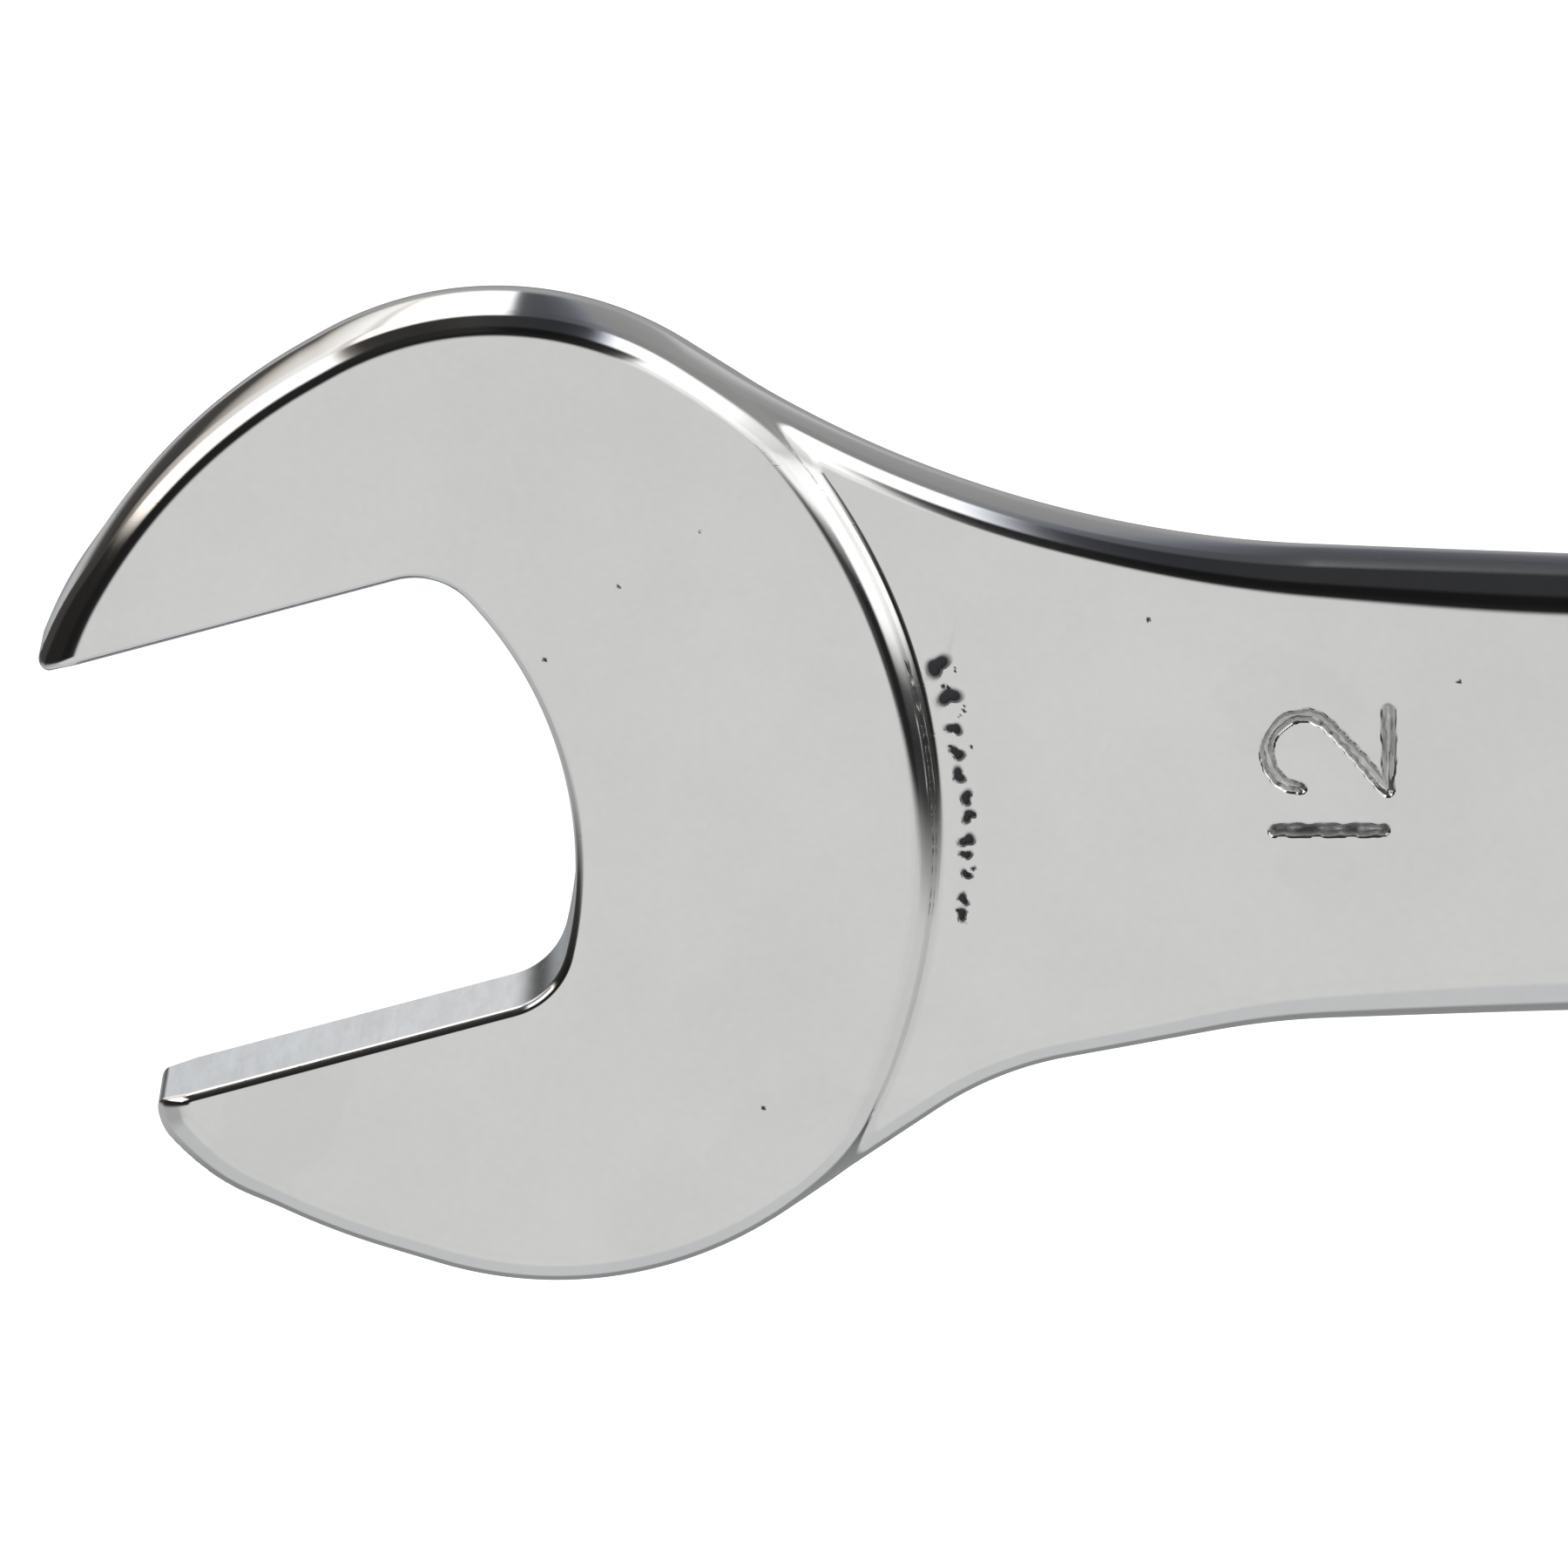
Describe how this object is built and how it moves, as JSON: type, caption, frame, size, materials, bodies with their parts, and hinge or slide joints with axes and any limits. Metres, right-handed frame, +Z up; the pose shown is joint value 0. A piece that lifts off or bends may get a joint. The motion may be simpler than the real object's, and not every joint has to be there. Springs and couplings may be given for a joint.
{
  "type": "combination wrench",
  "caption": "Flat forged hand wrench with an open jaw set at an angle on one end and a raised box ring on the other.",
  "frame": {"origin": "centre of the object's box, on the surface it lies on", "axes": "+Z up through both faces of the head, +X from the open jaw towards the ring, +Y across the shank"},
  "size_m": [0.168, 0.0268, 0.0123],
  "materials": {
    "chrome_plate": "satin-smooth chrome plate over a drop-forged steel body"
  },
  "bodies": {
    "root": {"wrench_forging": "chrome_plate"}
  },
  "joints": []
}
